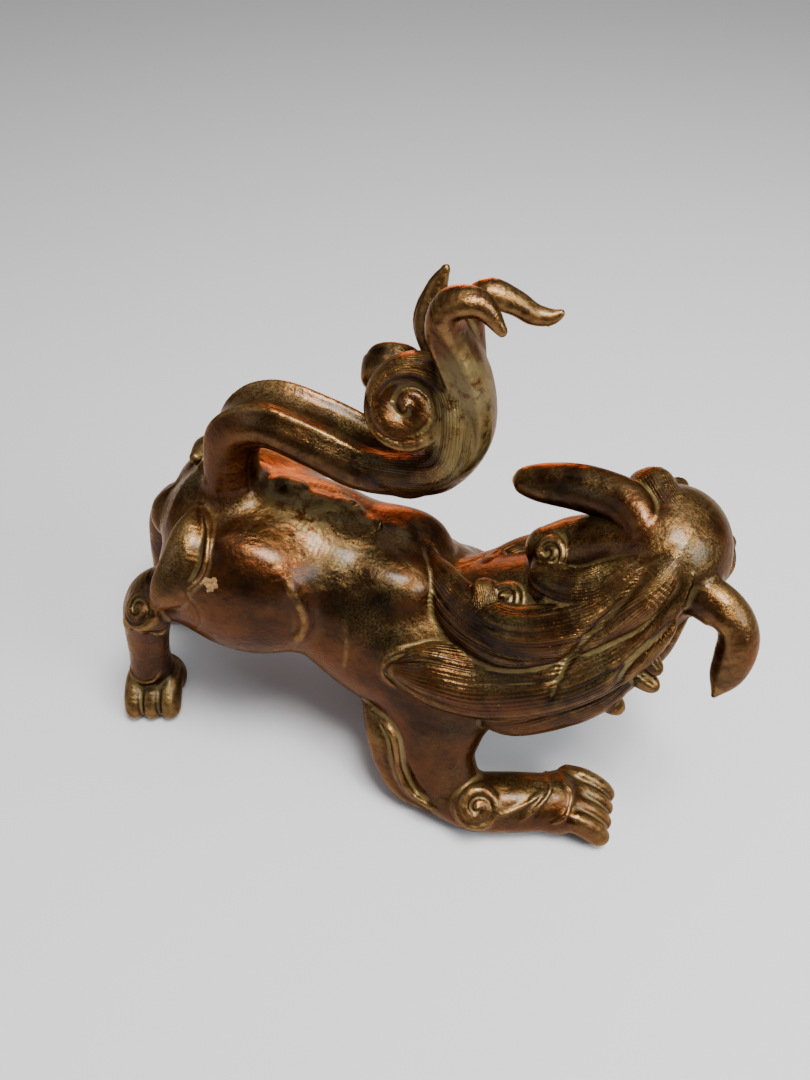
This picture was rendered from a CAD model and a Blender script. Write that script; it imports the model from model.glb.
"""Looks of the bronze foo dog: one sculpted surface, shared out over the castings that the frame holds.

Lengths in the sculpt are millimetres in the statue's modelling frame: +X to the head, +Y to the dog's left,
+Z up.
"""

import math
import bpy
import numpy as np
from mathutils import Matrix


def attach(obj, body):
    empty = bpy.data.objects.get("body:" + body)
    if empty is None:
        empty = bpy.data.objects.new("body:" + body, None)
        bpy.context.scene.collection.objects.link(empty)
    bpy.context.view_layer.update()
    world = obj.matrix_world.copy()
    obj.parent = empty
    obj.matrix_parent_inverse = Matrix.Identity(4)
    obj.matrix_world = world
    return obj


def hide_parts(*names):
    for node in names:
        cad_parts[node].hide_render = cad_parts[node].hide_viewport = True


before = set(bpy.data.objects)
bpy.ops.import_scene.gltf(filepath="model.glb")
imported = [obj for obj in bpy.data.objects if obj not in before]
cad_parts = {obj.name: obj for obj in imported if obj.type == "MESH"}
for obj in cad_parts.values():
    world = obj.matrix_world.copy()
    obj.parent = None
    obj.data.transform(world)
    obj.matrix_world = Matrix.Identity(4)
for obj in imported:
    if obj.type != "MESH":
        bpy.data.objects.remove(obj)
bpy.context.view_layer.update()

# ---------------------------------------------------------------- driving sizes
MM = 0.001  # metres in a millimetre
CENTRE_SHIFT = np.array([-2.3, 0.0, 0.0])  # from the modelling frame to the row's frame
STEP = 0.36  # grid of the sculpt
COARSE = 4  # fine steps in one coarse step
NEAR_SURFACE = 1.9  # coarse steps off the surface that are worked out finely
FINE_SPREAD = 2.2  # square millimetres that the near hollows are averaged over
BROAD_SPREAD = 12.0  # the same for the wide hollows
FAR_OUTSIDE = 9.0  # the field away from every member
MARGIN = 2.0  # room round a member's box for its fillets
THINNEST = 0.3  # least half width of a member
LEAST_SLOPE = 1e-3  # keeps the field finite in the middle of a member
ROUTE_SPACING = 0.8  # along a member's smooth route
LINE_SPACING = 0.4  # along a line on the skin
NORMAL_REACH = 0.7  # grid steps to either side that the skin's slope is taken over
LIMB_BATCH = 200000  # points worked out at a time for one member
GRID_BATCH = 1500000  # points worked out at a time for all of them
HIP_STAGGER = 4.0  # half of how far the left hind leg stands behind the right
MIRROR_Y = -3.5  # the neck's middle plane, which its locks are mirrored in
LEFT_DROP = 5.0  # how much lower the left locks lie
SIDES = (("right", -1.0), ("left", 1.0))
HEAD_ORIGIN = np.array([61.0, -0.5, 70.5])  # middle of the skull
HEAD_X = np.array([0.761, -0.364, -0.537])  # to the head's right
HEAD_Z = np.array([0.636, 0.250, 0.730])  # to its crown


def unit(vector):
    """The vector at length one."""
    vector = np.asarray(vector, float)
    return vector / np.linalg.norm(vector)


HEAD_X = unit(HEAD_X)
HEAD_Z = unit(HEAD_Z - HEAD_X * HEAD_Z.dot(HEAD_X))
HEAD_Y = np.cross(HEAD_Z, HEAD_X)
HEAD_BASIS = np.stack([HEAD_X, HEAD_Y, HEAD_Z])


def in_head(point):
    """A point of the head's own frame, in the modelling frame."""
    return HEAD_ORIGIN + np.asarray(point, float) @ HEAD_BASIS


# ---------------------------------------------------------------- fields
def smooth_min(a, b, blend):
    """The lower of two fields, with a fillet of about this size where they meet."""
    share = np.clip(0.5 + 0.5 * (b - a) / blend, 0, 1)
    return b * (1 - share) + a * share - blend * share * (1 - share)


def bell(distance, width):
    """One at the middle, falling to nothing past about twice the width."""
    return np.exp(-((distance / width) ** 2))


def catmull(values, spacing):
    """A smooth curve through the stations, about evenly sampled: its values and its length along."""
    values = np.asarray(values, float)
    before = 2 * values[0] - values[1]
    after = 2 * values[-1] - values[-2]
    held = np.vstack([before, values, after])
    rows = []
    for i in range(1, len(held) - 2):
        a, b, c, d = held[i - 1], held[i], held[i + 1], held[i + 2]
        count = max(2, int(np.linalg.norm(c[:3] - b[:3]) / spacing))
        t = np.arange(count)[:, None] / count
        square = t**2 * (a - 2.5 * b + 2 * c - 0.5 * d)
        cube = t**3 * (1.5 * (b - c) + 0.5 * (d - a))
        rows.append(b + 0.5 * t * (c - a) + square + cube)
    rows.append(values[-1:])
    rows = np.vstack(rows)
    rows[:, 3:] = np.maximum(rows[:, 3:], THINNEST)
    along = np.concatenate([[0], np.cumsum(np.linalg.norm(np.diff(rows[:, :3], axis=0), axis=1))])
    return rows, along


class Limb:
    """A member with elliptical sections along a route; carve(s, u, v, angle) presses its surface in."""

    def __init__(
        self, node, stations, hint=(0, 1, 0), blend=1.5, carve=None, basis=None, reach=0.0, combed=False
    ):
        rows, along = catmull(stations, ROUTE_SPACING)
        centre = rows[:, :3]
        if basis is not None:
            centre = HEAD_ORIGIN + centre @ basis
            hint = np.asarray(hint, float) @ basis
        self.node = node
        self.blend = blend
        self.carve = carve
        self.combed = combed
        self.centre = centre
        self.along = along
        self.tangent = np.gradient(centre, axis=0)
        self.tangent /= np.linalg.norm(self.tangent, axis=1)[:, None]
        hint = np.asarray(hint, float)
        across = hint - self.tangent * (self.tangent @ hint)[:, None]
        self.across = across / np.linalg.norm(across, axis=1)[:, None]
        self.up = np.cross(self.tangent, self.across)
        self.width = rows[:, 3]
        self.height = rows[:, 4]
        steps = np.gradient(along)
        self.width_rate = np.gradient(self.width) / steps
        self.height_rate = np.gradient(self.height) / steps
        margin = max(self.width.max(), self.height.max()) + MARGIN + reach
        self.low = centre.min(0) - margin
        self.high = centre.max(0) + margin

    def __call__(self, points):
        out = np.empty(len(points))
        for start in range(0, len(points), LIMB_BATCH):
            batch = slice(start, start + LIMB_BATCH)
            out[batch] = self.part(points[batch])
        return out

    def local(self, points):
        """Nearest station, and the place beside it: past the ends, along, across and up."""
        square = (self.centre**2).sum(1)[None] - 2 * points @ self.centre.T
        k = square.argmin(1)
        offset = points - self.centre[k]
        t = (offset * self.tangent[k]).sum(1)
        u = (offset * self.across[k]).sum(1)
        v = (offset * self.up[k]).sum(1)
        past = np.where(k == 0, np.maximum(-t, 0), np.where(k == len(self.centre) - 1, np.maximum(t, 0), 0))
        return k, past, np.clip(t, -1, 1), u, v

    def turn(self, points):
        """How far round the section each point lies, from 0 at one side to 1 at the other."""
        k, _, _, u, v = self.local(points)
        return np.abs(np.arctan2(v / self.height[k], u / self.width[k])) / math.pi

    def part(self, points):
        """The field at one batch of points."""
        k, past, t, u, v = self.local(points)
        width = np.maximum(self.width[k] + self.width_rate[k] * t, THINNEST)
        height = np.maximum(self.height[k] + self.height_rate[k] * t, THINNEST)
        end = np.minimum(width, height)
        radius = np.sqrt((u / width) ** 2 + (v / height) ** 2 + (past / end) ** 2)
        slope = np.sqrt((u / width**2) ** 2 + (v / height**2) ** 2 + (past / end**2) ** 2)
        distance = radius * (radius - 1) / np.maximum(slope, LEAST_SLOPE)
        if self.carve is not None:
            angle = np.arctan2(v / height, u / width)
            distance = distance + self.carve(self.along[k] + t, u / width, v / height, angle)
        return distance


class Ball:
    """An ellipsoid in a given frame; carve(x, y, z) presses its surface in, in the ball's own radii."""

    combed = False

    def __init__(self, node, centre, radii, blend=1.5, basis=None, carve=None):
        self.node = node
        self.blend = blend
        self.carve = carve
        self.basis = np.eye(3) if basis is None else basis
        self.centre = np.asarray(centre, float)
        if basis is not None:
            self.centre = HEAD_ORIGIN + self.centre @ basis
        self.radii = np.asarray(radii, float)
        margin = self.radii.max() + MARGIN
        self.low = self.centre - margin
        self.high = self.centre + margin

    def __call__(self, points):
        place = ((points - self.centre) @ self.basis.T) / self.radii
        radius = np.sqrt((place**2).sum(1))
        slope = np.sqrt(((place / self.radii) ** 2).sum(1))
        distance = radius * (radius - 1) / np.maximum(slope, LEAST_SLOPE)
        if self.carve is not None:
            distance = distance + self.carve(place[:, 0], place[:, 1], place[:, 2])
        return distance


class Volute:
    """A round curl seen face on: a spiral groove that opens outwards, a dished face and a raised eye."""

    combed = False

    def __init__(self, node, centre, axis, radius, thickness, turns, depth, blend, hand, dish=0.0, eye=0.0):
        self.node = node
        self.blend = blend
        self.centre = np.asarray(centre, float)
        self.z = unit(axis)
        side = np.array([1.0, 0, 0]) if abs(self.z[0]) < 0.9 else np.array([0, 0, 1.0])
        self.x = unit(side - self.z * side.dot(self.z))
        self.y = np.cross(self.z, self.x)
        self.radius = radius
        self.thickness = thickness
        self.turns = turns
        self.depth = depth
        self.hand = hand
        self.dish = dish
        self.eye = eye
        self.low = self.centre - radius - MARGIN
        self.high = self.centre + radius + MARGIN

    def __call__(self, points):
        offset = points - self.centre
        x = offset @ self.x
        y = offset @ self.y
        z = offset @ self.z
        rho = np.hypot(x, y) / self.radius
        flat = np.sqrt(rho**4 + (z / self.thickness) ** 4) ** 0.5
        distance = (flat - 1) * np.where(rho > np.abs(z) / self.thickness, self.radius, self.thickness)
        phase = self.turns * rho - self.hand * np.arctan2(y, x) / (2 * math.pi)
        groove = 1 - np.abs(np.sin(math.pi * phase))
        face_side = np.clip(z / self.thickness, 0, 1)
        worked = np.clip(1.25 - rho, 0, 1) ** 0.5
        spiral = self.depth * groove**1.6 * worked
        bowl = self.dish * np.clip(1 - rho**2, 0, 1)
        return distance + (spiral + bowl - self.eye * bell(rho, 0.16)) * face_side


class Stroke:
    """A line on the skin under a route, seen along the given direction; a height below 0 cuts it in."""

    def __init__(self, points, through, width, height, reach=5.0):
        rows, along = catmull([tuple(point) + (1, 1) for point in points], LINE_SPACING)
        self.through = unit(through)
        self.centre = rows[:, :3]
        self.flat = self.centre - np.outer(self.centre @ self.through, self.through)
        self.level = self.centre @ self.through
        self.along = along / along[-1]
        self.width = width
        self.height = height
        self.reach = reach
        margin = max(3 * width, reach)
        self.low = self.centre.min(0) - margin
        self.high = self.centre.max(0) + margin

    def __call__(self, points):
        level = points @ self.through
        flat = points - np.outer(level, self.through)
        square = (self.flat**2).sum(1)[None] - 2 * flat @ self.flat.T
        k = square.argmin(1)
        distance = np.linalg.norm(flat - self.flat[k], axis=1)
        taper = np.clip(5 * np.minimum(self.along[k], 1 - self.along[k]) + 0.1, 0, 1)
        near = np.clip(2 - 2 * np.abs(level - self.level[k]) / self.reach, 0, 1)
        return -self.height * taper * near * bell(distance, self.width)


# ---------------------------------------------------------------- carving
def strands(count, depth, length, fade_in=0.06, fade_out=0.03, sink=0.0):
    """Rounded strands of hair along a lock, with sharp valleys; a sunk start rises out of the skin."""

    def carve(s, u, v, angle):
        turn = np.abs(angle)
        valley = 1 - np.abs(np.sin(count * turn + 0.8 * np.sin(3.1 * turn + 0.06 * s)))
        valley = valley * (0.62 + 0.38 * np.cos(5.3 * turn + 0.11 * s))
        rise = np.clip(s / (fade_in * length + 0.1), 0, 1)
        fall = np.clip((length - s) / (fade_out * length + 0.1), 0, 1)
        return depth * valley**2.2 * (rise * fall) + sink * np.clip(1 - s / (0.28 * length), 0, 1) ** 1.5

    return carve


def trough(base, depth, near_rim, far_rim, start, end):
    """A channel down the upper side of the tail between a near and a far rim, over the given strands."""

    def carve(s, u, v, angle):
        share = np.clip((s - start) / 16.0, 0, 1) * np.clip((end - s) / 6.0, 0, 1)
        above = np.clip(v / 0.5, 0, 1)
        channel = depth * bell(u - 0.1, 0.45)
        rims = -near_rim * bell(u + 0.58, 0.13) - far_rim * bell(u - 0.74, 0.2)
        return base(s, u, v, angle) * (1 - above) + share * above * (channel + rims)

    return carve


def lock(node, stations, hint=(0, 0.6, 0.8), count=6, depth=0.5, blend=0.5, sink=2.2):
    """A lock of mane with strands along it."""
    points = np.asarray(stations, float)[:, :3]
    length = np.linalg.norm(np.diff(points, axis=0), axis=1).sum()
    return Limb(node, stations, hint, blend, strands(count, depth, length, sink=sink), combed=True)


# ---------------------------------------------------------------- members
# A station of a route is its x, y and z, and the half width and half height of the member there.
TORSO = [
    (-52, 4, 53, 8, 8), (-46, 3, 53, 14, 14), (-36, 1, 53.5, 18, 17.3), (-22, 0, 51.7, 19.3, 18.2),
    (-8, 0, 45, 21, 20.5), (6, -1, 36.5, 22.5, 22), (20, -2, 31, 22, 20), (32, -2, 28, 18, 16),
    (40, -2, 27, 9, 9),
]
NECK = [(16, -2, 35, 16, 16), (30, -4.5, 41, 17.5, 18), (45, -5, 51, 15.5, 16.5), (57, -3, 63, 11.5, 11.5)]
SPINE = [(-21, 2.5, 69.4), (-13.5, 1, 67.6), (-8, 3, 65.6), (-3, 0.5, 63.2), (3.5, 1.5, 60.6)]


def body():
    """Torso, neck and skull, with the ribs and the knobs of the spine."""
    made = [
        Limb("torso", TORSO, blend=2),
        Limb("neck", NECK, blend=3),
        Ball("skull", (0, 0, 0), (12.5, 13, 12.5), 3, HEAD_BASIS),
        Ball("skull", (-1.5, 3, 2.5), (11.5, 12, 11.5), 3, HEAD_BASIS),
    ]
    for side in (-1, 1):
        made.append(Ball("torso", (5, 6.5 * side, 55.5), (10, 8, 6), 4))
    for place in SPINE:
        made.append(Ball("torso", place, (3.0, 2.0, 1.5), 2.6))
    return made


# Along a toe: share of its length, height above the ground, and its width and height over the toe's radius.
TOE_PROFILE = ((0, 7.8, 0.95, 1.2), (0.4, 7.6, 1.0, 1.3), (0.8, 5.4, 1.0, 1.3), (1, 3.4, 0.92, 1.15))


def toes(node, base, forward, radius, count, spacing, length, splay):
    """Plump toes side by side, from the top of the paw down to the ground."""
    made = []
    base = np.asarray(base, float)
    forward = unit(forward)
    across = np.cross((0, 0, 1), forward)
    for i in range(count):
        lean = i - (count - 1) / 2
        way = unit(forward + across * lean * splay)
        start = base + across * lean * spacing
        rows = []
        for share, height, wide, tall in TOE_PROFILE:
            place = start + way * length * share
            rows.append((place[0], place[1], height, radius * wide, radius * tall))
        made.append(Limb(node, rows, across, 0.8))
    return made


SHANK = [
    (-40, 14, 46, 7, 8), (-49, 15, 45, 6.3, 6.8), (-54, 15, 39, 6, 6.3), (-57, 15, 30, 5.2, 5.6),
    (-59, 15, 19, 4.9, 5.2), (-60, 15, 10, 5.6, 5.8),
]
RUMP_BAND = [
    (-39, 8, 68, 1.5, 1.5), (-38.5, 14, 66.8, 3.7, 2.6), (-38.5, 19, 63.3, 4.6, 3.0),
    (-41, 22.5, 57, 4.6, 3.0), (-46, 22, 50, 2, 2),
]


def to_side(stations, side, back=0.0):
    """A leg's route on the given side, set this far back."""
    return [(x - back, y * side, z, width, height) for x, y, z, width, height in stations]


def hind_leg(name, side):
    """Haunch, shank, paw, hock tuft and rump band of one side."""
    back = HIP_STAGGER * (1 + side)
    forward = (0.24, 0.97 * side, 0)
    made = [
        Ball("haunch_" + name, (-28 - back, 13 * side, 50.5), (21, 12.3, 18.3), 3.5),
        Limb("hind_shank_" + name, to_side(SHANK, side, back), blend=2.5),
        Ball("hind_paw_" + name, (-60 - back, 13 * side, 5.5), (7.2, 6.5, 6.2), 1.5),
    ]
    made += toes(
        "hind_paw_" + name, (-60.3 - back, 13.5 * side, 0), forward,
        radius=2.95, count=3, spacing=4.6, length=9.0, splay=0.0,
    )
    made.append(Limb("rump_band_" + name, to_side(RUMP_BAND, side, back), (1, 0, 0), 1.2))
    made.append(Volute(
        "hock_tuft_" + name, (-51 - back, 19.6 * side, 43.4), (-0.25, 0.62 * side, 0.75),
        radius=5.2, thickness=4.2, turns=1.8, depth=0.9, blend=0.9, hand=side, eye=0.5,
    ))
    for drop in (0, 1, 2):
        made.append(Limb("hock_tuft_" + name, [
            (-54 - back + 3.2 * drop, 19.3 * side, 44 - drop, 2.0, 2.0),
            (-57 - back + 3.6 * drop, 20 * side, 38 - 0.5 * drop, 1.8, 1.6),
            (-59.5 - back + 4.0 * drop, 18.8 * side, 31 + 1.8 * drop, 0.6, 0.6),
        ], (1, 0, 0), 0.6))
    return made


ARM = [(16, 13, 34, 11, 14), (18, 19, 25, 9, 13), (20, 24, 16, 7.5, 10), (25, 28, 8, 6.5, 7.5)]
FOREARM = [(24, 29, 7, 6, 6), (31, 29.5, 7, 7, 7), (40, 27.4, 6.9, 7.1, 6.9), (49, 25, 6.6, 6.7, 6.6)]
ELBOW_TUFT = [
    (2, 19, 26, 2, 2), (6, 22, 21, 5, 4), (9, 25, 14, 5.5, 4.5), (14, 28, 7, 5, 4.5), (21, 31, 3.5, 2.5, 2.5),
]


def foreleg(name, side):
    """Upper arm, forearm, paw and elbow tuft of one side."""
    made = [
        Limb("upper_arm_" + name, to_side(ARM, side), blend=3),
        Limb("forearm_" + name, to_side(FOREARM, side), blend=2.0),
        Ball("forepaw_" + name, (51, 24 * side, 5.8), (6.8, 7.8, 6.4), 1.5),
    ]
    made += toes(
        "forepaw_" + name, (51.5, 23.4 * side, 0), (1, 0.04 * side, 0),
        radius=2.5, count=4, spacing=3.85, length=9.8, splay=-0.01,
    )
    made.append(Limb("elbow_tuft_" + name, to_side(ELBOW_TUFT, side), blend=0.8, carve=strands(6, 0.5, 38)))
    made.append(Volute(
        "forearm_" + name, (31.5, 32.2 * side, 10.6), (0.2, 0.62 * side, 0.75),
        radius=5.6, thickness=3.4, turns=1.7, depth=1.1, blend=0.9, hand=side, eye=0.8,
    ))
    return made


STEM = [
    (-33, 0, 64, 7.6, 7), (-33, 0, 76, 6.3, 6), (-30, -0.3, 86, 6.4, 6), (-22, -0.8, 91, 7.4, 5.8),
    (-12, -1, 88.6, 8, 5.8), (-2, -0.8, 84.5, 8.2, 5.8), (8, 0.5, 83, 7.8, 5.5),
]
LOBE_RIGHT = [
    (8, 0.5, 83, 7.8, 5.5), (15, -1, 87.5, 8, 5), (19.5, -3, 97, 7.5, 4.7), (19, -4.5, 108, 7, 4.2),
    (14.8, -5.5, 118.5, 5.5, 3.6), (15.8, -6.5, 124, 3.9, 2.8), (20.6, -7.3, 124.9, 2.6, 2.2),
    (24.6, -8.5, 121.3, 0.9, 0.9),
]
LOBE_LEFT = [
    (17, 3, 96, 4, 3), (13, 7, 104, 5, 3.5), (9, 9.5, 111, 4, 3.5), (9.5, 11, 117, 2.2, 2.2),
    (11, 12, 121, 0.8, 0.8),
]
TIP = [
    (18, 1, 110, 4, 3), (17.2, 2, 117.5, 4, 3), (20.2, 2, 122, 3.2, 2.6), (24.8, 2, 121.2, 2.6, 2.1),
    (28.4, 2, 119.4, 2.1, 1.8), (31.4, 2, 119.3, 1.5, 1.4), (33.1, 2, 120.3, 0.7, 0.7),
]
SCROLL_BAND = [
    (-6, -4.5, 86.6, 3, 3), (3, -4.8, 85.2, 4.2, 3.6), (11, -5.6, 87.2, 5, 4.2), (16.5, -7, 93.2, 5.2, 4.2),
]
# Where the band winds round the scroll: degrees round, distance from its middle, half width and half height.
SCROLL_WRAP = (
    (5, 8.4, 5.3, 4.0), (45, 7.7, 5.0, 3.6), (85, 7.2, 4.8, 3.1), (125, 6.8, 4.5, 2.5), (165, 6.5, 3.9, 1.8),
    (205, 6.1, 2.8, 1.0),
)


def lobe_face(s, u, v, angle):
    """The near lobe's dished front, with a fine line along its outer rim."""
    share = np.clip((s - 16) / 6, 0, 1) * np.clip((46 - s) / 8, 0, 1)
    dish = 3.4 * bell(u + 0.9, 0.75) * bell(v - 0.1, 0.5)
    line = 0.35 * bell(v + 0.72, 0.12)
    return share * (dish + line * np.clip(0.3 - u, 0, 0.4) / 0.4)


def tail():
    """Stem, lobes, tip and the two scrolls."""
    scroll = Volute(
        "tail_scroll_right", (8.3, -6.0, 102.3), (0.12, -0.83, 0.54),
        radius=8.2, thickness=4.6, turns=1.7, depth=2.2, blend=0.5, hand=-1, dish=2.0, eye=1.6,
    )
    band = list(SCROLL_BAND)
    for degrees, reach, width, height in SCROLL_WRAP:
        turn = math.radians(degrees)
        place = scroll.centre + reach * (math.cos(turn) * scroll.x + math.sin(turn) * scroll.y)
        band.append((place[0], place[1], place[2], width, height))
    side_hair = strands(7, 0.36, 66, fade_in=0.5)
    channel = trough(side_hair, depth=2.0, near_rim=0.8, far_rim=1.4, start=12, end=90)
    return [
        Limb("tail_stem", STEM, blend=3.5, carve=channel, reach=2.0),
        Limb("tail_lobe_right", LOBE_RIGHT, blend=0.8, carve=lobe_face),
        Limb("tail_scroll_right", band, scroll.z, 0.7, strands(6, 0.4, 70), combed=True),
        Limb("tail_lobe_left", LOBE_LEFT, blend=0.6, carve=strands(4, 0.35, 30)),
        Limb("tail_tip", TIP, blend=0.8),
        scroll,
        Volute(
            "tail_scroll_left", (1.5, 8.5, 100), (-0.12, 0.83, 0.54),
            radius=6.2, thickness=4.5, turns=1.75, depth=1.8, blend=0.5, hand=1, dish=0.8, eye=0.8,
        ),
    ]


def head_limb(node, stations, hint, blend, carve=None):
    """A member along a route in the head's own frame."""
    return Limb(node, stations, hint, blend, carve, HEAD_BASIS)


def head_ball(node, centre, radii, blend, carve=None):
    """An ellipsoid in the head's own frame."""
    return Ball(node, centre, radii, blend, HEAD_BASIS, carve)


def pupil(x, y, z):
    """The pit in an eyeball that stands for its pupil."""
    return 0.7 * bell(np.hypot(x + 0.05, z), 0.3) * np.clip(3 * y, 0, 1)


def toothed(x, y, z):
    """Upright grooves between teeth."""
    return 0.5 * np.abs(np.cos(9 * np.arctan2(y, x))) ** 8 * np.clip(2 - 2 * np.abs(z), 0, 1)


def ring(node, centre, radius, tube, blend):
    """A thin ring about the forward direction of the head."""
    turns = np.linspace(0, 2 * math.pi, 17)
    x, y, z = centre
    rows = [(x + radius * math.cos(turn), y, z + radius * math.sin(turn), tube, tube) for turn in turns]
    return head_limb(node, rows, (0, 1, 0), blend)


# The face in the head's own frame: x to its right, y forward, z up. Paired features are given for the right.
MUZZLE = [(0, 4, -2, 8, 5.5), (0, 12, -2.5, 8.5, 5.5), (0, 17.5, -3, 7.5, 5), (0, 21, -3, 4.5, 3)]
NOSE_BRIDGE = [(0, 12, 5, 2.6, 2.2), (0, 17, 3.4, 2.2, 2.0), (0, 20, 1.6, 2.6, 2.0)]
BEARD_TUFT = [(0, 16, -14, 3, 2.6), (0, 18.3, -17, 2.6, 2.2), (0, 17.6, -20, 1, 1)]
BROW = [
    (1.6, 16, 4.6, 1.5, 1.5), (4.2, 14.6, 7.6, 2.2, 2.0), (7.6, 11.8, 8.2, 2.4, 2.1),
    (10.4, 8.0, 6.8, 2.1, 1.9), (12, 5, 4.4, 0.9, 0.9),
]
UPPER_LIP = [
    (0.2, 21.8, -5.4, 1.2, 1.2), (4.5, 20.2, -6.2, 1.5, 1.4), (8, 15.5, -7.0, 1.5, 1.4),
    (9, 10, -7.2, 1.4, 1.3), (8.6, 5, -9, 1, 1),
]
LOWER_LIP = [
    (0.2, 19.4, -11.2, 1.1, 1.1), (4.4, 17.6, -11, 1.3, 1.2), (7.3, 12.5, -10.8, 1.3, 1.2),
    (8.4, 6.5, -9.8, 1.1, 1.0),
]
FANG = [(4.9, 18.6, -6.2, 1.15, 1.15), (4.7, 19, -9.3, 0.35, 0.35)]
WISP = [(4.4, 14.2, -14.2, 2.6, 2.2), (6, 14.6, -17.8, 2.2, 1.9), (5.6, 13, -20.6, 0.8, 0.8)]
RUFF = [(9, 4, -9.6, 2.6, 2.2), (12, 0.5, -10.6, 3.0, 2.4), (13.6, -4, -9.6, 1.0, 1.0)]
FORELOCK = [(62, 0, 79.5, 3, 3), (58.5, 4, 80.5, 4, 4), (56, 8, 80.5, 4.8, 4.2), (54.5, 10.5, 79, 3.5, 3.5)]


def face():
    """The face, on the head's far side: bulging eyes, a broad nose, bared teeth and curls about the jaw."""
    made = [
        head_limb("muzzle", MUZZLE, (1, 0, 0), 1.5),
        head_ball("lower_jaw", (0, 10.5, -12.6), (7.3, 8.8, 2.8), 0.8),
        head_ball("tongue", (0, 14.6, -9.6), (3.4, 6.2, 1.2), 0.3),
        head_ball("teeth", (0, 11.8, -8.7), (7.2, 8.2, 2.5), 0.2, toothed),
        head_ball("nose", (0, 20.6, 0.6), (3.8, 3.0, 2.6), 0.8),
        head_limb("nose", NOSE_BRIDGE, (1, 0, 0), 0.8),
        head_ball("beard", (0, 13.2, -15), (6, 4.8, 3.4), 0.8),
        head_limb("beard", BEARD_TUFT, (1, 0, 0), 0.5, strands(4, 0.4, 7)),
        head_ball("skull", (0, 9.5, 10.4), (3.2, 3.0, 2.6), 1.0),
    ]
    for name, side in (("right", 1.0), ("left", -1.0)):
        brow, upper_lip, lower_lip, fang, wisp, ruff = [
            [(x * side, y, z, width, height) for x, y, z, width, height in rows]
            for rows in (BROW, UPPER_LIP, LOWER_LIP, FANG, WISP, RUFF)
        ]
        made += [
            head_ball("eye_" + name, (5.4 * side, 12.9, 4.0), (3.1, 3.0, 2.9), 0.2, pupil),
            ring("brow_" + name, (5.5 * side, 14.2, 3.9), radius=3.2, tube=0.75, blend=0.4),
            head_limb("brow_" + name, brow, (0, 1, 0), 0.6, strands(3, 0.4, 18)),
            head_limb("muzzle", upper_lip, (0, 0, 1), 0.5),
            head_limb("lower_jaw", lower_lip, (0, 0, 1), 0.5),
            head_limb("teeth", fang, (1, 0, 0), 0.2),
            head_limb("beard", wisp, (1, 0, 0), 0.5, strands(4, 0.4, 7)),
            head_limb("cheek_" + name, ruff, (0, 0, 1), 0.6, strands(4, 0.4, 10)),
            head_ball("nose", (2.7 * side, 20.9, -0.4), (1.9, 1.9, 1.8), 0.5),
            Volute(
                "cheek_" + name, in_head((10.8 * side, 7, -4.6)), (0.72 * side, 0.68, 0.05) @ HEAD_BASIS,
                radius=4.5, thickness=3.2, turns=1.8, depth=0.9, blend=0.7, hand=int(side), eye=0.6,
            ),
            Volute(
                "brow_" + name, in_head((7.6 * side, 12.4, 8.4)), (0.35 * side, 0.85, 0.4) @ HEAD_BASIS,
                radius=2.3, thickness=2.0, turns=1.6, depth=0.6, blend=0.5, hand=-int(side), eye=0.5,
            ),
        ]
    made.append(lock("brow_left", FORELOCK, (1, 0, 1), count=5, depth=0.4, blend=1.2, sink=1.0))
    return made


EAR_LEFT = [
    (56, -4.5, 76, 3.6, 3.6), (54.8, -1.5, 78.6, 4.5, 4.3), (51.5, 2.4, 79.8, 5, 4.7),
    (47, 5.2, 79.4, 5, 4.7), (41, 7.2, 78.6, 4.9, 4.3), (34, 8.3, 77.3, 4.2, 3.6),
    (29.5, 9.1, 76.3, 2.8, 2.6), (28.2, 9.3, 76, 1.4, 1.4),
]
EAR_RIGHT = [
    (66, -8.5, 70, 4.4, 4), (70, -10.5, 70.5, 4.6, 4.3), (73.6, -12.5, 69, 4.4, 4.6),
    (75.6, -14, 65.5, 4.6, 4.8), (75.9, -15.5, 61, 4.6, 4.4), (75.4, -17, 56, 3.6, 3),
    (75, -18.3, 51.5, 0.9, 0.9),
]


def cupped(s, u, v, angle):
    """The hollow on the inner face of an ear."""
    return 1.6 * bell(u + 0.75, 0.45) * np.clip((s - 7) / 4, 0, 1)


def ears():
    """The two leaf-shaped ears."""
    return [
        Limb("ear_left", EAR_LEFT, (0, 1, 1), 0.4),
        Limb("ear_right", EAR_RIGHT, (1, 0, 1), 1.2, cupped),
    ]


CURL = [
    (63, -7, 81, 2.5, 2.5), (58, -12.5, 74, 4.5, 3.5), (52, -14.5, 67, 5.5, 4), (43, -17.5, 62, 6, 4.5),
    (34, -17.5, 58.5, 5.5, 4.5), (27.5, -13.5, 57, 5, 4), (26, -9, 60, 3, 3),
]
CROWN = [
    (56, -9, 78, 2.5, 2.5), (51, -11, 71, 4.5, 3.5), (44.5, -12, 67.5, 5, 4), (38.5, -9, 66, 4.5, 3.5),
    (36.5, -4, 66.5, 2, 2),
]
SHOULDER = [
    (65, -11, 77, 2.5, 2.5), (60.5, -14, 65, 5, 4), (52, -18.5, 56, 6.5, 5), (41, -21.5, 49.5, 7.5, 5.5),
    (28.5, -21.5, 44, 8, 5.5), (17, -21.5, 44, 7, 5), (9, -21.5, 43.5, 2.5, 2.5),
]
THROAT = [
    (61, -13, 57, 4, 3.5), (52, -18, 47, 6, 5), (44, -19, 39.5, 6.5, 5), (35, -20, 33, 5.5, 4.5),
    (28, -20, 29, 2, 2),
]
CHEST = [
    (67.5, -9, 66, 2.5, 2.5), (63.5, -8.5, 57, 4.4, 3.6), (57.5, -11, 47.5, 5.8, 4.6),
    (50, -12, 37.5, 6.6, 4.8), (43, -12, 30, 3, 3),
]
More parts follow.
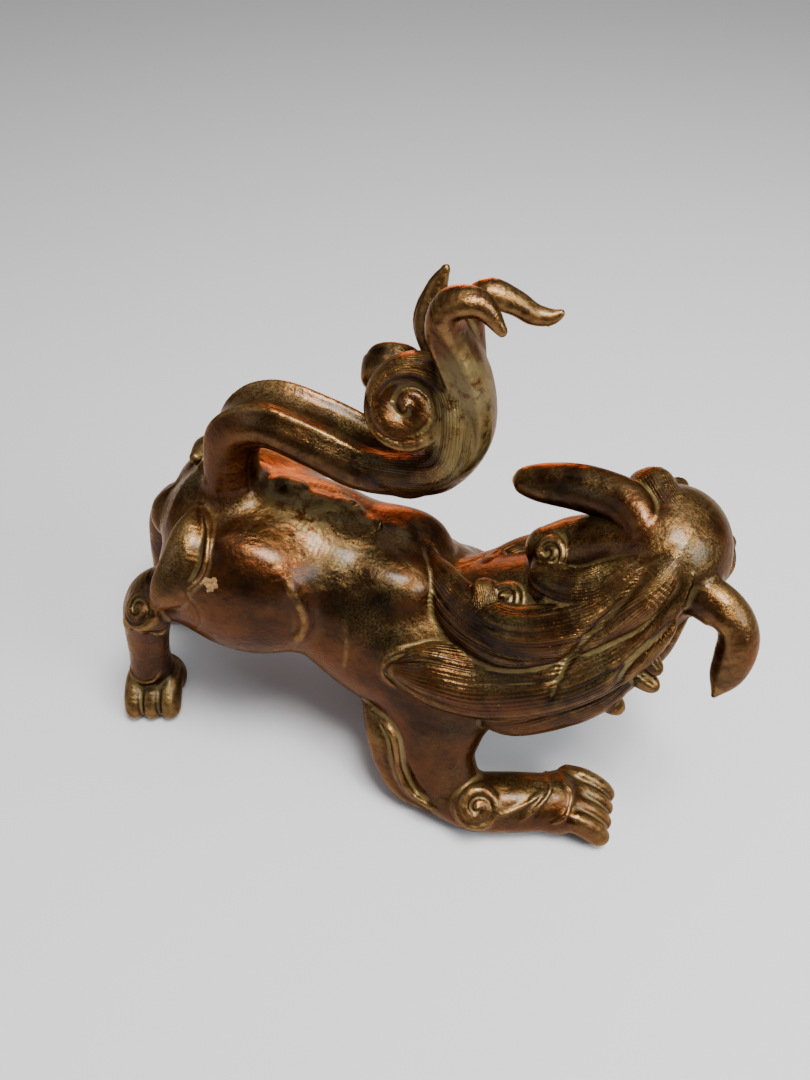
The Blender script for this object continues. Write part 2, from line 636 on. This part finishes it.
NAPE = [
    (50, -18, 60, 3, 3), (40, -19, 57.5, 5, 4), (31, -17.5, 55.5, 6.5, 4), (22, -12, 54.5, 6.5, 4),
    (14.5, -4.5, 56, 5, 3.5), (10.5, 1, 58.5, 1.5, 1.5),
]


DOME = [(37.5, -0.5, 67, 5.5, 5), (43, 0.3, 67.3, 8, 6.5), (50, -1, 70.5, 7.5, 7), (58, -3, 75, 6, 6)]
RIGHT_LOCKS = {
    "nape": NAPE, "chest": CHEST, "throat": THROAT, "crown": CROWN, "curl": CURL, "shoulder": SHOULDER,
}
LEFT_LOCKS = {"nape": NAPE[1:], "throat": THROAT[1:], "curl": CURL[2:], "shoulder": SHOULDER[2:]}
# Small curls on the mane's lower edge: where they grow from, where they end, and their radius.
KNOBS = (
    ((59, -14.5, 57), (63.3, -17, 54.5), 1.7), ((57, -15, 52), (63.2, -18.5, 51), 1.9),
    ((52, -18, 46), (57.5, -19.8, 43), 2.2),
)


def to_left(stations):
    """The same route on the dog's left side of the neck, where the locks lie lower."""
    return [(x, 2 * MIRROR_Y - y, z - LEFT_DROP, width, height) for x, y, z, width, height in stations]


def end_curl(name, side, place):
    """The round curl that a long lock ends in."""
    return Volute(
        "mane_curl_" + name, place, (-0.43, 0.36 * side, 0.83),
        radius=4.0, thickness=2.4, turns=1.7, depth=0.8, blend=0.6, hand=side, eye=0.8,
    )


def mane():
    """The locks of the mane on both sides, and the curls at their ends."""
    made = [Limb("mane_dome", DOME, blend=1.6)]
    for name, route in RIGHT_LOCKS.items():
        made.append(lock("mane_" + name + "_right", route))
    for name, route in LEFT_LOCKS.items():
        made.append(lock("mane_" + name + "_left", to_left(route), (0, -0.6, 0.8)))
    made.append(end_curl("right", -1, (31, -11, 60)))
    made.append(Volute(
        "mane_crown_right", (38.6, -4.2, 69.4), (-0.5, -0.57, 0.65),
        radius=3.8, thickness=2.0, turns=1.6, depth=0.9, blend=0.6, hand=-1, eye=-1.2,
    ))
    for root, tip, radius in KNOBS:
        middle = (np.array(root) + 2 * np.array(tip)) / 3
        knob = [root + (3, 3), tuple(middle) + (radius + 0.6, radius + 0.6), tip + (radius, radius)]
        made.append(Limb("mane_throat_right", knob, (0, 0.6, 0.8), 0.5, strands(3, 0.4, 8)))
    made.append(end_curl("left", 1, (31, 4, 55)))
    return made


def strokes():
    """Lines and folds worked into the skin."""
    made = []
    for _, side in SIDES:
        back = HIP_STAGGER * (1 + side)
        outward = (0.1, 0.8 * side, 0.6)

        def placed(points, shift=0.0):
            return [(x - shift, -y * side, z) for x, y, z in points]

        rump = [(-37.5, -8, 69.5), (-33.6, -14, 68), (-32.4, -20, 65), (-33.6, -22.5, 62), (-36.5, -24.5, 59)]
        fold = [(-16, -18, 63), (-13.5, -19.5, 60), (-11, -21.5, 55), (-11.2, -22, 50), (-14.5, -22, 44)]
        crease = placed([(-37, -24, 61), (-34, -25, 51), (-39, -22, 42)], back)
        flank = placed([(-3.5, -18.5, 54), (-1.8, -20.5, 48.5), (-2.5, -22, 38.5)])
        hollow = placed([(-7, -2, 67), (-5, -12, 63), (-7, -19, 54), (-6, -22, 44)])
        made += [
            Stroke(placed(rump, back), outward, 0.7, 0.9),
            Stroke(placed(fold, back), outward, 1.7, 1.1),
            Stroke(crease, outward, 0.45, -0.35),
            Stroke(flank, outward, 1.0, 0.35),
            Stroke(hollow, outward, 4.5, -0.5),
        ]
        wrist = [(46, -18.5, 9), (47.5, -23.5, 12.3), (47, -27, 12.4), (44, -30.5, 10.4), (42, -32, 8.5)]
        knuckles = [
            (49.5, -18.5, 10.5), (52.5, -23, 12), (53, -26.5, 11.6), (51.8, -30, 10), (48.5, -31.5, 7.5),
        ]
        flame = [(36, -33.5, 10), (40, -31.5, 11.5), (43.5, -29, 12.5), (46, -25, 12.5)]
        made += [Stroke(placed(line), outward, 0.5, 0.5) for line in (wrist, knuckles, flame)]
        arm_edge = placed([(4, -22.5, 26), (9.5, -25.5, 23), (12, -29, 15), (16, -32, 9), (23, -34.5, 8)])
        made.append(Stroke(arm_edge, outward, 1.1, 1.8))
        ankle = placed([(-66, -17, 15), (-62, -20.5, 12.5), (-57, -20.5, 13.5), (-54.5, -17, 16)], back)
        made.append(Stroke(ankle, outward, 0.6, 0.6))
    for pit, width in (((-7, 3.5, 66), 0.7), ((-0.1, 0.3, 63.8), 0.9)):
        made.append(Stroke([pit, (pit[0] + 0.4, pit[1], pit[2] - 0.1)], (0.3, 0, 0.95), width, -4.0, 3.0))
    for valley in (
        [(60, -9, 80), (56, -13.5, 76), (52.5, -17, 70.5), (47, -21.5, 63), (44.5, -24, 56), (43, -27, 50)],
        [(65.5, -13, 70), (61, -18, 65), (57, -21.5, 60), (55, -23.5, 53)],
    ):
        made.append(Stroke(valley, (0, -0.8, 0.6), 1.1, -1.1))
    lock_border = [(20, -22, 51), (13, -21.5, 50), (7.5, -22, 46.5), (7, -24, 42.5), (11, -26, 39.5)]
    made.append(Stroke(lock_border, (0, -0.8, 0.6), 0.7, 0.7))
    return made


PARTS = body()
for side_name, side_sign in SIDES:
    PARTS += hind_leg(side_name, side_sign)
    PARTS += foreleg(side_name, side_sign)
PARTS += tail() + mane() + face() + ears()
STROKES = strokes()
NODE_NAMES = sorted({part.node for part in PARTS})


# ---------------------------------------------------------------- sculpt
def sculpted(points):
    """The blended field and the nearest node at each point."""
    total = np.full(len(points), FAR_OUTSIDE)
    nearest = np.full(len(points), FAR_OUTSIDE)
    label = np.zeros(len(points), np.int16)
    for part in PARTS:
        held = np.flatnonzero(((points > part.low) & (points < part.high)).all(1))
        if not len(held):
            continue
        field = part(points[held])
        total[held] = smooth_min(total[held], field, part.blend)
        closer = field < nearest[held]
        nearest[held[closer]] = field[closer]
        label[held[closer]] = NODE_NAMES.index(part.node)
    for stroke in STROKES:
        held = np.flatnonzero(((points > stroke.low) & (points < stroke.high)).all(1))
        if len(held):
            total[held] += stroke(points[held])
    return np.maximum(total, -points[:, 2]), label


def sculpt_grid():
    """The field on a fine grid, worked out only near the surface."""
    low = np.min([part.low for part in PARTS], 0)
    high = np.max([part.high for part in PARTS], 0)
    low[2] = -2 * STEP
    wide = STEP * COARSE
    axes = [np.arange(start, end, wide) for start, end in zip(low, high)]
    mesh = np.stack(np.meshgrid(*axes, indexing="ij"), -1)
    rough, _ = sculpted(mesh.reshape(-1, 3))
    rough = rough.reshape(mesh.shape[:3])
    field = np.kron(rough, np.ones([COARSE] * 3)).astype(np.float32)
    near = np.kron(np.abs(rough) < wide * NEAR_SURFACE, np.ones([COARSE] * 3, bool))
    index = np.argwhere(near)
    label = np.zeros(field.shape, np.int16)
    for start in range(0, len(index), GRID_BATCH):
        rows = index[start:start + GRID_BATCH]
        values, labels = sculpted(low + rows * STEP)
        field[tuple(rows.T)] = values
        label[tuple(rows.T)] = labels
    return field, label, low


def surface_nets(field):
    """A quad mesh of the zero surface, in grid units."""
    shape = np.array(field.shape)
    inside = field < 0
    corners = [(i, j, k) for i in (0, 1) for j in (0, 1) for k in (0, 1)]
    a, b, c = shape - 1
    cells = sum(inside[i:a + i, j:b + j, k:c + k].astype(np.int8) for i, j, k in corners)
    index = np.argwhere((cells > 0) & (cells < 8))
    number = np.full(cells.shape, -1, np.int32)
    number[tuple(index.T)] = np.arange(len(index))
    total = np.zeros((len(index), 3))
    count = np.zeros(len(index))
    for axis in range(3):
        for corner in corners:
            if corner[axis]:
                continue
            other = list(corner)
            other[axis] = 1
            a = field[tuple((index + corner).T)]
            b = field[tuple((index + other).T)]
            cross = (a < 0) != (b < 0)
            t = np.where(cross, a / np.where(cross, a - b, 1), 0)
            place = np.tile(np.array(corner, float), (len(index), 1))
            place[:, axis] = t
            total += place * cross[:, None]
            count += cross
    vertices = index + total / count[:, None]
    quads = []
    for axis in range(3):
        change = np.diff(inside.astype(np.int8), axis=axis)
        edges = np.argwhere(change)
        p, q = [(1, 2), (2, 0), (0, 1)][axis]
        beside = edges[:, [p, q]]
        edges = edges[((beside > 0) & (beside < shape[[p, q]] - 1)).all(1)]
        around = []
        for dp, dq in ((-1, -1), (0, -1), (0, 0), (-1, 0)):
            cell = edges.copy()
            cell[:, p] += dp
            cell[:, q] += dq
            around.append(number[tuple(cell.T)])
        quad = np.stack(around, 1)
        leaving = change[tuple(edges.T)] < 0
        quad[~leaving] = quad[~leaving][:, ::-1]
        quads.append(quad)
    return vertices, np.vstack(quads)


def sampled(field, places):
    """The grid's values at places between its points."""
    base = np.clip(np.floor(places).astype(int), 0, np.array(field.shape) - 2)
    t = places - base
    out = np.zeros(len(places))
    for corner in ((i, j, k) for i in (0, 1) for j in (0, 1) for k in (0, 1)):
        weight = np.where(corner, t, 1 - t).prod(1)
        out += weight * field[tuple((base + corner).T)]
    return out


def normals_of(field, places):
    """Outward directions from the field's slope."""
    steps = NORMAL_REACH * np.eye(3)
    slope = np.stack([sampled(field, places + step) - sampled(field, places - step) for step in steps], 1)
    return slope / np.maximum(np.linalg.norm(slope, axis=1), 1e-9)[:, None]


def relaxed(vertices, quads, rounds):
    """The vertices after this many rounds of averaging with their neighbours."""
    first = quads.T.ravel()
    second = np.roll(quads, -1, 1).T.ravel()
    count = np.bincount(first, minlength=len(vertices)) + np.bincount(second, minlength=len(vertices))
    moved = vertices.copy()
    for _ in range(rounds):
        total = np.zeros_like(moved)
        for axis in range(3):
            total[:, axis] = np.bincount(first, moved[second, axis], len(moved))
            total[:, axis] += np.bincount(second, moved[first, axis], len(moved))
        moved = 0.3 * moved + 0.7 * total / np.maximum(count, 1)[:, None]
    return moved


def build_surface():
    """Vertices, quads, normals, node labels and how hollow each place is, near and wide."""
    field, label, low = sculpt_grid()
    vertices, quads = surface_nets(field)
    normals = normals_of(field, vertices)
    labels = label[tuple(np.clip(np.rint(vertices).astype(int), 0, np.array(label.shape) - 1).T)]
    near = relaxed(vertices, quads, round(FINE_SPREAD / STEP**2))
    wide = relaxed(near, quads, round(BROAD_SPREAD / STEP**2))
    fine = ((near - vertices) * normals).sum(1) * STEP
    broad = ((wide - vertices) * normals).sum(1) * STEP
    fine, broad, _ = relaxed(np.stack([fine, broad, broad], 1), quads, 2).T
    return vertices * STEP + low, quads, normals, labels, fine, broad


def combing(node, places):
    """How far round its strand each place lies, and one where the casting is combed into hair."""
    turn = np.zeros(len(places))
    combed = np.zeros(len(places))
    nearest = np.full(len(places), FAR_OUTSIDE)
    for part in PARTS:
        if part.node != node:
            continue
        field = part(places)
        closer = field < nearest
        nearest[closer] = field[closer]
        combed[closer] = part.combed
        if part.combed:
            turn[closer] = part.turn(places[closer])
    return turn, combed


def slot_of(node):
    """The material slot that a node takes its finish from."""
    if node.startswith("eye_"):
        return "eye_bronze"
    if node == "core_plug" or "pin" in node:
        return "bare_bronze"
    return "patinated_bronze"


def make_pieces(materials):
    """One object for each node, cut from the one surface."""
    vertices, quads, normals, labels, fine, broad = build_surface()
    quad_label = labels[quads[:, 0]]
    made = {}
    for number, node in enumerate(NODE_NAMES):
        mine = quads[quad_label == number]
        if not len(mine):
            continue
        used, flat = np.unique(mine, return_inverse=True)
        mesh = bpy.data.meshes.new(node)
        places = (vertices[used] + CENTRE_SHIFT) * MM
        mesh.from_pydata(places.tolist(), [], flat.reshape(-1, 4).tolist())
        mesh.shade_smooth()
        mesh.normals_split_custom_set_from_vertices(normals[used].tolist())
        turn, combed = combing(node, vertices[used])
        looks = [("hollow_fine", fine[used]), ("hollow_broad", broad[used])]
        looks += [("strand_turn", turn), ("combed", combed)]
        for name, values in looks:
            attribute = mesh.attributes.new(name, "FLOAT", "POINT")
            attribute.data.foreach_set("value", values.astype(np.float32))
        mesh.materials.append(materials[slot_of(node)])
        piece = bpy.data.objects.new("cast_" + node, mesh)
        bpy.context.scene.collection.objects.link(piece)
        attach(piece, "root")
        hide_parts(node)
        made[node] = piece
    return made


# ---------------------------------------------------------------- materials
class Nodes:
    """A material's nodes, built one after another."""

    def __init__(self, name):
        self.material = bpy.data.materials.new(name)
        self.material.use_nodes = True
        self.tree = self.material.node_tree

    def set(self, socket, value):
        """Join the socket to another node's output, or give it a value."""
        if isinstance(value, bpy.types.NodeSocket):
            self.tree.links.new(value, socket)
        elif isinstance(value, tuple) and len(value) == 3 and socket.type == "RGBA":
            socket.default_value = value + (1,)
        else:
            socket.default_value = value

    def add(self, kind, inputs, **settings):
        """A new node of this kind, with its inputs set."""
        node = self.tree.nodes.new("ShaderNode" + kind)
        for name, value in settings.items():
            setattr(node, name, value)
        for name, value in inputs.items():
            self.set(node.inputs[name], value)
        return node

    def surface(self, inputs):
        """Set the inputs of the surface itself."""
        for name, value in inputs.items():
            self.set(self.tree.nodes["Principled BSDF"].inputs[name], value)
        return self.material

    def place(self, scale=(1, 1, 1)):
        """Coordinates in metres that stay with the casting."""
        place = self.add("TexCoord", {}).outputs["Object"]
        return self.add("Mapping", {"Vector": place, "Scale": scale}).outputs["Vector"]

    def noise(self, scale, detail=4, roughness=0.55, stretch=(1, 1, 1)):
        inputs = {"Vector": self.place(stretch), "Scale": scale, "Detail": detail, "Roughness": roughness}
        return self.add("TexNoise", inputs).outputs["Fac"]

    def specks(self, scale, size):
        """One inside small round specks."""
        node = self.add("TexVoronoi", {"Vector": self.place(), "Scale": scale})
        return self.ramp(node.outputs["Distance"], size, size * 0.5)

    def value(self, name):
        """What the mesh holds under this name."""
        return self.add("Attribute", {}, attribute_name=name).outputs["Fac"]

    def ramp(self, value, low, high):
        """Nought at low, one at high, smooth between."""
        rising = low < high
        inputs = {
            "Value": value, "From Min": min(low, high), "From Max": max(low, high),
            "To Min": 0.0 if rising else 1.0, "To Max": 1.0 if rising else 0.0,
        }
        return self.add("MapRange", inputs, interpolation_type="SMOOTHSTEP").outputs["Result"]

    def math(self, operation, a, b=0.0):
        return self.add("Math", {0: a, 1: b}, operation=operation).outputs["Value"]

    def both(self, a, b):
        """The product: high only where both are."""
        return self.math("MULTIPLY", a, b)

    def either(self, a, b):
        """The higher of the two."""
        return self.math("MAXIMUM", a, b)

    def mix(self, share, a, b):
        """From colour a to colour b."""
        return self.add("Mix", {"Factor": share, 6: a, 7: b}, data_type="RGBA").outputs[2]

    def blend(self, share, a, b):
        """From number a to number b."""
        return self.add("Mix", {0: share, 2: a, 3: b}).outputs[0]

    def bump(self, height, distance, normal=None):
        inputs = {"Height": height, "Distance": distance}
        if normal is not None:
            inputs["Normal"] = normal
        return self.add("Bump", inputs).outputs["Normal"]


WORN_PLACE = (-0.0330, -0.0227, 0.0611)  # tan patch rubbed through on the haunch
SADDLE_PLACE = (-0.0160, 0.0020, 0.0690)  # corroded patch on the back below the tail
BLADE_PLACE = (0.0170, -0.0110, 0.1050)  # dished face of the tail's near lobe
COMB_TURNS = 150.0  # hair lines cut round half a strand, in radians
COMB_DEPTH = 0.00005
RIPPLE_DEPTH = 0.0011  # slow unevenness of the cast skin
GRAIN_DEPTH = 0.00010
DARK_BROWN = (0.0095, 0.0040, 0.0015)
CHESTNUT = (0.078, 0.024, 0.0055)
RUBBED = (0.200, 0.105, 0.032)
VERDIGRIS = (0.125, 0.085, 0.026)
PALE_BLOOM = (0.185, 0.140, 0.055)
TAN_BRASS = (0.45, 0.27, 0.11)
OLD_TAN = (0.22, 0.11, 0.04)
EDGE_TINT = (0.75, 0.52, 0.30)
EYE_DARK = (0.030, 0.012, 0.005)
EYE_BROWN = (0.10, 0.036, 0.012)
RAW_BRONZE = (0.55, 0.34, 0.15)
RAW_SHADE = (0.36, 0.20, 0.08)


def near_place(n, place, outer, inner, wobble_scale, wobble, stretch=(1, 1, 1)):
    """One near a place on the casting, with a ragged border."""
    middle = tuple(length * scale for length, scale in zip(place, stretch))
    distance = n.add("VectorMath", {0: n.place(stretch), 1: middle}, operation="DISTANCE").outputs["Value"]
    ragged = n.both(n.math("SUBTRACT", n.noise(wobble_scale, 3), 0.5), wobble)
    return n.ramp(n.math("ADD", distance, ragged), outer, inner)


def facing_up(n):
    """One where the casting looks to the sky."""
    normal = n.add("NewGeometry", {}).outputs["Normal"]
    return n.ramp(n.add("SeparateXYZ", {0: normal}).outputs["Z"], 0.15, 0.9)


def verdigris_share(n, mottle, grain):
    """How much khaki verdigris lies on the casting: in its grooves and pockets, and as dust on its tops."""
    fine = n.value("hollow_fine")
    uneven = n.ramp(n.noise(60, 3, 0.5), 0.30, 0.66)
    ragged = n.both(n.math("SUBTRACT", mottle, 0.5), 0.12)
    groove = n.both(n.ramp(n.math("ADD", fine, ragged), 0.03, 0.13), n.blend(uneven, 0.25, 0.85))
    pocket = n.both(n.ramp(n.value("hollow_broad"), 0.2, 1.1), n.ramp(mottle, 0.36, 0.60))
    dust = n.both(n.ramp(n.noise(70, 4, 0.6), 0.36, 0.62), n.ramp(grain, 0.25, 0.70))
    dust = n.both(dust, facing_up(n))
    saddle = n.both(near_place(n, SADDLE_PLACE, 0.019, 0.006, 90, 0.016), n.ramp(mottle, 0.40, 0.56))
    blade = near_place(n, BLADE_PLACE, 0.0085, 0.0050, 200, 0.006, (1.0, 0.7, 0.5))
    blade = n.both(blade, n.ramp(mottle, 0.30, 0.50))
    share = n.either(groove, n.both(pocket, 0.6))
    share = n.either(share, n.both(dust, 0.62))
    return n.either(share, n.both(n.either(saddle, blade), 0.8))


def bronze():
    """Chestnut-brown patina, rubbed to gold on the crests, with khaki verdigris in the hollows and on top."""
    n = Nodes("patinated_bronze")
    cloud = n.ramp(n.noise(48, 5, 0.6), 0.34, 0.66)
    mottle = n.noise(420, 5, 0.65)
    grain = n.noise(2200, 3, 0.6)
    colour = n.mix(cloud, DARK_BROWN, CHESTNUT)
    colour = n.mix(n.both(n.ramp(mottle, 0.5, 0.72), 0.5), colour, DARK_BROWN)
    crest = n.both(n.ramp(n.value("hollow_fine"), -0.03, -0.15), n.ramp(mottle, 0.30, 0.62))
    colour = n.mix(n.both(crest, 0.8), colour, RUBBED)
    green = verdigris_share(n, mottle, grain)
    tone = n.mix(n.ramp(n.noise(90, 3), 0.40, 0.66), VERDIGRIS, PALE_BLOOM)
    colour = n.mix(green, colour, tone)
    specks = n.both(n.specks(260, 0.085), n.ramp(n.noise(120, 2), 0.46, 0.60))
    colour = n.mix(n.both(specks, 0.5), colour, PALE_BLOOM)
    worn = near_place(n, WORN_PLACE, 0.0031, 0.0025, 420, 0.012, (0.8, 1.3, 2.0))
    colour = n.mix(worn, colour, n.mix(n.ramp(grain, 0.40, 0.60), OLD_TAN, TAN_BRASS))
    dull = n.either(green, worn)
    sheen = n.blend(n.ramp(n.noise(160, 4), 0.35, 0.65), 0.24, 0.40)
    comb = n.math("SINE", n.both(n.value("strand_turn"), COMB_TURNS))
    normal = n.bump(n.both(comb, n.value("combed")), COMB_DEPTH)
    normal = n.bump(n.noise(130, 3), RIPPLE_DEPTH, normal)
    normal = n.bump(grain, GRAIN_DEPTH, normal)
    return n.surface({
        "Base Color": colour,
        "Metallic": n.blend(dull, 0.95, 0.55),
        "Roughness": n.blend(dull, sheen, 0.48),
        "Specular Tint": EDGE_TINT,
        "Coat Weight": 0.20,
        "Coat Roughness": 0.20,
        "Normal": normal,
    })


def eye_bronze():
    """The eyeballs: polished almost black, with khaki in the pupil's pit."""
    n = Nodes("eye_bronze")
    pit = n.ramp(n.value("hollow_fine"), 0.02, 0.12)
    colour = n.mix(n.ramp(n.noise(300, 4), 0.35, 0.65), EYE_DARK, EYE_BROWN)
    return n.surface({
        "Base Color": n.mix(pit, colour, VERDIGRIS), "Metallic": 0.95, "Roughness": n.blend(pit, 0.16, 0.5),
    })


def bare_bronze():
    """Unpatinated metal of the pins and the core plug, with fine marks of turning."""
    n = Nodes("bare_bronze")
    marks = n.noise(900, 3, 0.6, (1, 1, 6))
    colour = n.mix(n.ramp(marks, 0.35, 0.65), RAW_BRONZE, RAW_SHADE)
    return n.surface({"Base Color": colour, "Metallic": 1.0, "Roughness": n.blend(marks, 0.25, 0.45)})


# ---------------------------------------------------------------- stage
CAMERA_PLACE = (np.array([37.3, -124.7, 190.0]) + CENTRE_SHIFT) * MM
YAW = math.radians(14)
PITCH = math.radians(45)
SENSOR_HEIGHT = 36
FOCAL_LENGTH = 27.03333  # millimetres, as the sensor
FLOOR_HALF = 6.0
FLOOR_GREY = (0.56, 0.56, 0.58)
SURROUND_GREY = (0.85, 0.85, 0.88, 1)
SURROUND_STRENGTH = 0.22
STATUE_MIDDLE = (0, 0, 0.06)
# Each lamp: its place, its target, its side, its power, its colour and the spread of its beam in degrees.
LAMPS = {
    "key": ((0.15, -0.10, 0.62), STATUE_MIDDLE, 0.20, 7.5, (1.0, 0.98, 0.94), 180),
    "overhead": ((0.3, 0.3, 2.5), STATUE_MIDDLE, 3.0, 32, (1.0, 0.99, 0.97), 180),
    "window": ((0.5, -0.15, 0.40), STATUE_MIDDLE, 0.25, 3, (0.92, 0.97, 1.0), 180),
    "fill": ((-0.5, -0.3, 0.35), STATUE_MIDDLE, 0.4, 0.5, (0.98, 0.97, 1.0), 180),
    "warm_back": ((-0.10, 0.45, 0.11), (0.0, 0.0, 0.10), 0.16, 0.05, (1.0, 0.30, 0.09), 32),
}


def aimed(name, data, place, right, back):
    """An object at a place, with its own x to the right and its z to its back."""
    turn = Matrix(np.stack([right, np.cross(back, right), back], 1).tolist()).to_4x4()
    turn.translation = place
    holder = bpy.data.objects.new(name, data)
    holder.matrix_world = turn
    bpy.context.scene.collection.objects.link(holder)
    return holder


def place_camera():
    """A camera above and before the near side, looking down at the statue."""
    camera = bpy.data.cameras.new("camera")
    camera.sensor_fit = "VERTICAL"
    camera.sensor_height = SENSOR_HEIGHT
    camera.lens = FOCAL_LENGTH
    camera.clip_start = 0.01
    right = np.array([math.cos(YAW), math.sin(YAW), 0])
    back = np.array([math.sin(YAW) * math.cos(PITCH), -math.cos(YAW) * math.cos(PITCH), math.sin(PITCH)])
    bpy.context.scene.camera = aimed("camera", camera, CAMERA_PLACE.tolist(), right, back)


def soft_light(name, place, target, size, power, colour, spread):
    """A square soft light, aimed at its target."""
    light = bpy.data.lights.new(name, "AREA")
    light.shape = "SQUARE"
    light.size = size
    light.energy = power
    light.color = colour
    light.spread = math.radians(spread)
    back = unit(np.array(place) - np.array(target))
    aimed(name, light, place, unit(np.cross((0, 0, 1), back)), back)


def stage():
    """A plain pale floor, soft lights and a dim even surround."""
    mesh = bpy.data.meshes.new("floor")
    corners = [(FLOOR_HALF * x, FLOOR_HALF * y, 0) for x, y in ((-1, -1), (1, -1), (1, 1), (-1, 1))]
    mesh.from_pydata(corners, [], [(0, 1, 2, 3)])
    mesh.materials.append(Nodes("floor").surface({"Base Color": FLOOR_GREY, "Roughness": 0.9}))
    floor = bpy.data.objects.new("floor", mesh)
    bpy.context.scene.collection.objects.link(floor)
    world = bpy.data.worlds.new("surround")
    world.use_nodes = True
    surround = world.node_tree.nodes["Background"].inputs
    surround["Color"].default_value = SURROUND_GREY
    surround["Strength"].default_value = SURROUND_STRENGTH
    bpy.context.scene.world = world
    for name, lamp in LAMPS.items():
        soft_light(name, *lamp)


finishes = {"patinated_bronze": bronze(), "eye_bronze": eye_bronze(), "bare_bronze": bare_bronze()}
pieces = make_pieces(finishes)
for node_name, node_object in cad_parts.items():
    if node_name not in pieces:
        node_object.data.materials.clear()
        node_object.data.materials.append(finishes[slot_of(node_name)])
place_camera()
stage()
